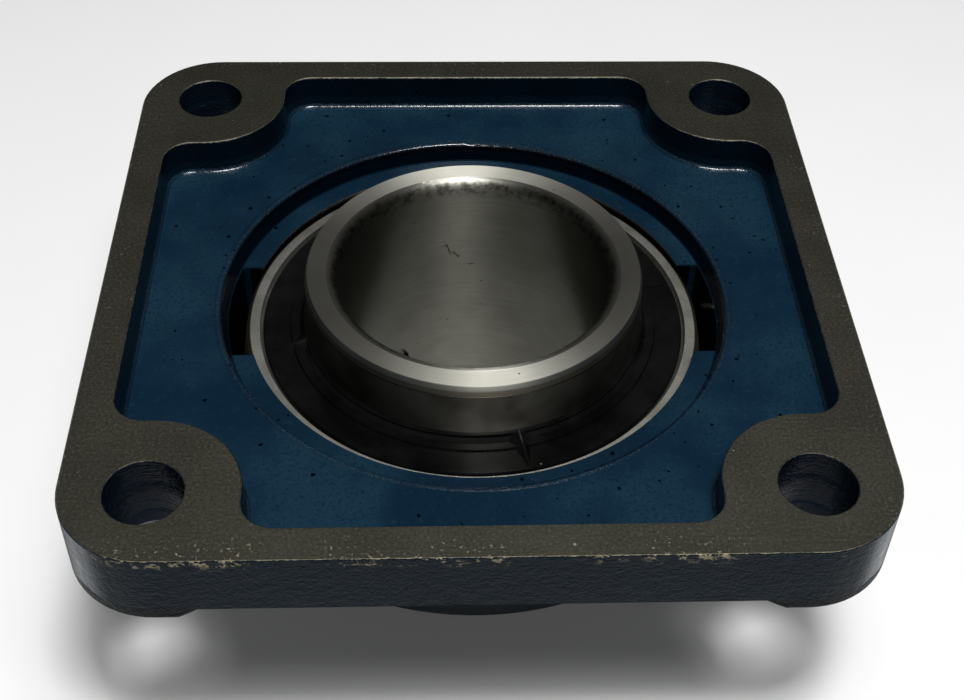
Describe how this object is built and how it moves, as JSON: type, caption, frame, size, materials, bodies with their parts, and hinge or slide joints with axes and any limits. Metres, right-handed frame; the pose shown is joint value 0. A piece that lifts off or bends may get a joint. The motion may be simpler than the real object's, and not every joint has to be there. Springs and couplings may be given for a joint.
{
  "type": "flange mount bearing",
  "caption": "Square flange mount bearing: cast housing with corner bolt holes and a recessed back, holding a self-aligning insert ball bearing with a wide bored inner ring.",
  "frame": {"origin": "centre of the bolt pattern, on the machined mounting face of the flange", "axes": "+Z along the shaft axis, out of the mounting face towards the machine it bolts to, so the hub's nose points to -Z; X and Y along the flange's sides; the filling slots and the anti-rotation pin are near the X axis, the grease nipple points to +Y"},
  "size_m": [0.2, 0.2, 0.0785],
  "materials": {
    "housing_paint": "sprayed dark blue paint on cast iron, machined bare mounting face",
    "bearing_steel": "finely turned and ground, bare",
    "ground_steel": "ground bright, lightly oiled",
    "pin_steel": "bright",
    "seal_steel": "phosphated",
    "seal_rubber": "moulded nitrile",
    "black_flinger": "satin black pressed steel",
    "cage_steel": "pressed sheet",
    "ball_steel": "polished",
    "zinc_plated": "zinc plated",
    "spring_steel": "drawn wire",
    "black_oxide": "black oxide"
  },
  "bodies": {
    "housing": {"housing": "housing_paint", "grease_nipple": "zinc_plated", "nipple_spring": "spring_steel"},
    "align_pin": {"anti_rotation_pin": "pin_steel"},
    "outer_race": {"outer_ring": "bearing_steel", "seal_core_rear": "seal_steel", "seal_lip_rear": "seal_rubber", "seal_core_front": "seal_steel", "seal_lip_front": "seal_rubber"},
    "inner_race": {"inner_ring": "ground_steel", "flinger_rear": "black_flinger", "flinger_front": "black_flinger"},
    "ball_cage": {"cage_rear": "cage_steel", "cage_front": "cage_steel", "cage_rivets": "cage_steel"},
    "screw_1": {"set_screw_1": "black_oxide"},
    "screw_2": {"set_screw_2": "black_oxide"},
    "check_ball": {"nipple_check_ball": "ball_steel"},
    "body_ball_01": {"ball_01": "ball_steel"},
    "body_ball_02": {"ball_02": "ball_steel"},
    "body_ball_03": {"ball_03": "ball_steel"},
    "body_ball_04": {"ball_04": "ball_steel"},
    "body_ball_05": {"ball_05": "ball_steel"},
    "body_ball_06": {"ball_06": "ball_steel"},
    "body_ball_07": {"ball_07": "ball_steel"},
    "body_ball_08": {"ball_08": "ball_steel"},
    "body_ball_09": {"ball_09": "ball_steel"},
    "body_ball_10": {"ball_10": "ball_steel"},
    "body_ball_11": {"ball_11": "ball_steel"}
  },
  "joints": [
    {"name": "swivel_across_pin", "type": "hinge", "parent": "housing", "child": "align_pin", "pos_m": [0, 0, -0.034], "axis": [-0.2079, 0.9781, 0], "range_deg": [-5, 5]},
    {"name": "swivel_about_pin", "type": "hinge", "parent": "align_pin", "child": "outer_race", "pos_m": [0, 0, -0.034], "axis": [0.9758, 0.2074, 0.0698], "range_deg": [-5, 5]},
    {"name": "inner_ring_spin", "type": "hinge", "parent": "outer_race", "child": "inner_race", "pos_m": [0, 0, -0.034], "axis": [0, 0, 1], "continuous": true},
    {"name": "cage_spin", "type": "hinge", "parent": "outer_race", "child": "ball_cage", "pos_m": [0, 0, -0.034], "axis": [0, 0, 1], "continuous": true},
    {"name": "ball_01_roll", "type": "hinge", "parent": "ball_cage", "child": "body_ball_01", "pos_m": [0.0515, 0, -0.034], "axis": [0, 0, 1], "continuous": true},
    {"name": "ball_02_roll", "type": "hinge", "parent": "ball_cage", "child": "body_ball_02", "pos_m": [0.04332, 0.02784, -0.034], "axis": [0, 0, 1], "continuous": true},
    {"name": "ball_03_roll", "type": "hinge", "parent": "ball_cage", "child": "body_ball_03", "pos_m": [0.02139, 0.04685, -0.034], "axis": [0, 0, 1], "continuous": true},
    {"name": "ball_04_roll", "type": "hinge", "parent": "ball_cage", "child": "body_ball_04", "pos_m": [-0.00733, 0.05098, -0.034], "axis": [0, 0, 1], "continuous": true},
    {"name": "ball_05_roll", "type": "hinge", "parent": "ball_cage", "child": "body_ball_05", "pos_m": [-0.03373, 0.03892, -0.034], "axis": [0, 0, 1], "continuous": true},
    {"name": "ball_06_roll", "type": "hinge", "parent": "ball_cage", "child": "body_ball_06", "pos_m": [-0.04941, 0.01451, -0.034], "axis": [0, 0, 1], "continuous": true},
    {"name": "ball_07_roll", "type": "hinge", "parent": "ball_cage", "child": "body_ball_07", "pos_m": [-0.04941, -0.01451, -0.034], "axis": [0, 0, 1], "continuous": true},
    {"name": "ball_08_roll", "type": "hinge", "parent": "ball_cage", "child": "body_ball_08", "pos_m": [-0.03373, -0.03892, -0.034], "axis": [0, 0, 1], "continuous": true},
    {"name": "ball_09_roll", "type": "hinge", "parent": "ball_cage", "child": "body_ball_09", "pos_m": [-0.00733, -0.05098, -0.034], "axis": [0, 0, 1], "continuous": true},
    {"name": "ball_10_roll", "type": "hinge", "parent": "ball_cage", "child": "body_ball_10", "pos_m": [0.02139, -0.04685, -0.034], "axis": [0, 0, 1], "continuous": true},
    {"name": "ball_11_roll", "type": "hinge", "parent": "ball_cage", "child": "body_ball_11", "pos_m": [0.04332, -0.02784, -0.034], "axis": [0, 0, 1], "continuous": true},
    {"name": "set_screw_1_travel", "type": "slide", "parent": "inner_race", "child": "screw_1", "axis": [-0.6157, 0.788, 0], "range_m": [-0.001, 0.005]},
    {"name": "set_screw_2_travel", "type": "slide", "parent": "inner_race", "child": "screw_2", "axis": [-0.3746, -0.9272, 0], "range_m": [-0.001, 0.005]},
    {"name": "nipple_check_ball_travel", "type": "slide", "parent": "housing", "child": "check_ball", "axis": [0, -1, 0], "range_m": [0, 0.001], "stiffness_N_per_m": 400, "springref_m": -0.001, "deforming": ["nipple_spring"]}
  ],
  "couplings": [
    {"joint": "cage_spin", "follows": "inner_ring_spin", "ratio": 0.41523},
    {"joint": "ball_01_roll", "follows": "inner_ring_spin", "ratio": -2.8645},
    {"joint": "ball_02_roll", "follows": "inner_ring_spin", "ratio": -2.8645},
    {"joint": "ball_03_roll", "follows": "inner_ring_spin", "ratio": -2.8645},
    {"joint": "ball_04_roll", "follows": "inner_ring_spin", "ratio": -2.8645},
    {"joint": "ball_05_roll", "follows": "inner_ring_spin", "ratio": -2.8645},
    {"joint": "ball_06_roll", "follows": "inner_ring_spin", "ratio": -2.8645},
    {"joint": "ball_07_roll", "follows": "inner_ring_spin", "ratio": -2.8645},
    {"joint": "ball_08_roll", "follows": "inner_ring_spin", "ratio": -2.8645},
    {"joint": "ball_09_roll", "follows": "inner_ring_spin", "ratio": -2.8645},
    {"joint": "ball_10_roll", "follows": "inner_ring_spin", "ratio": -2.8645},
    {"joint": "ball_11_roll", "follows": "inner_ring_spin", "ratio": -2.8645}
  ]
}
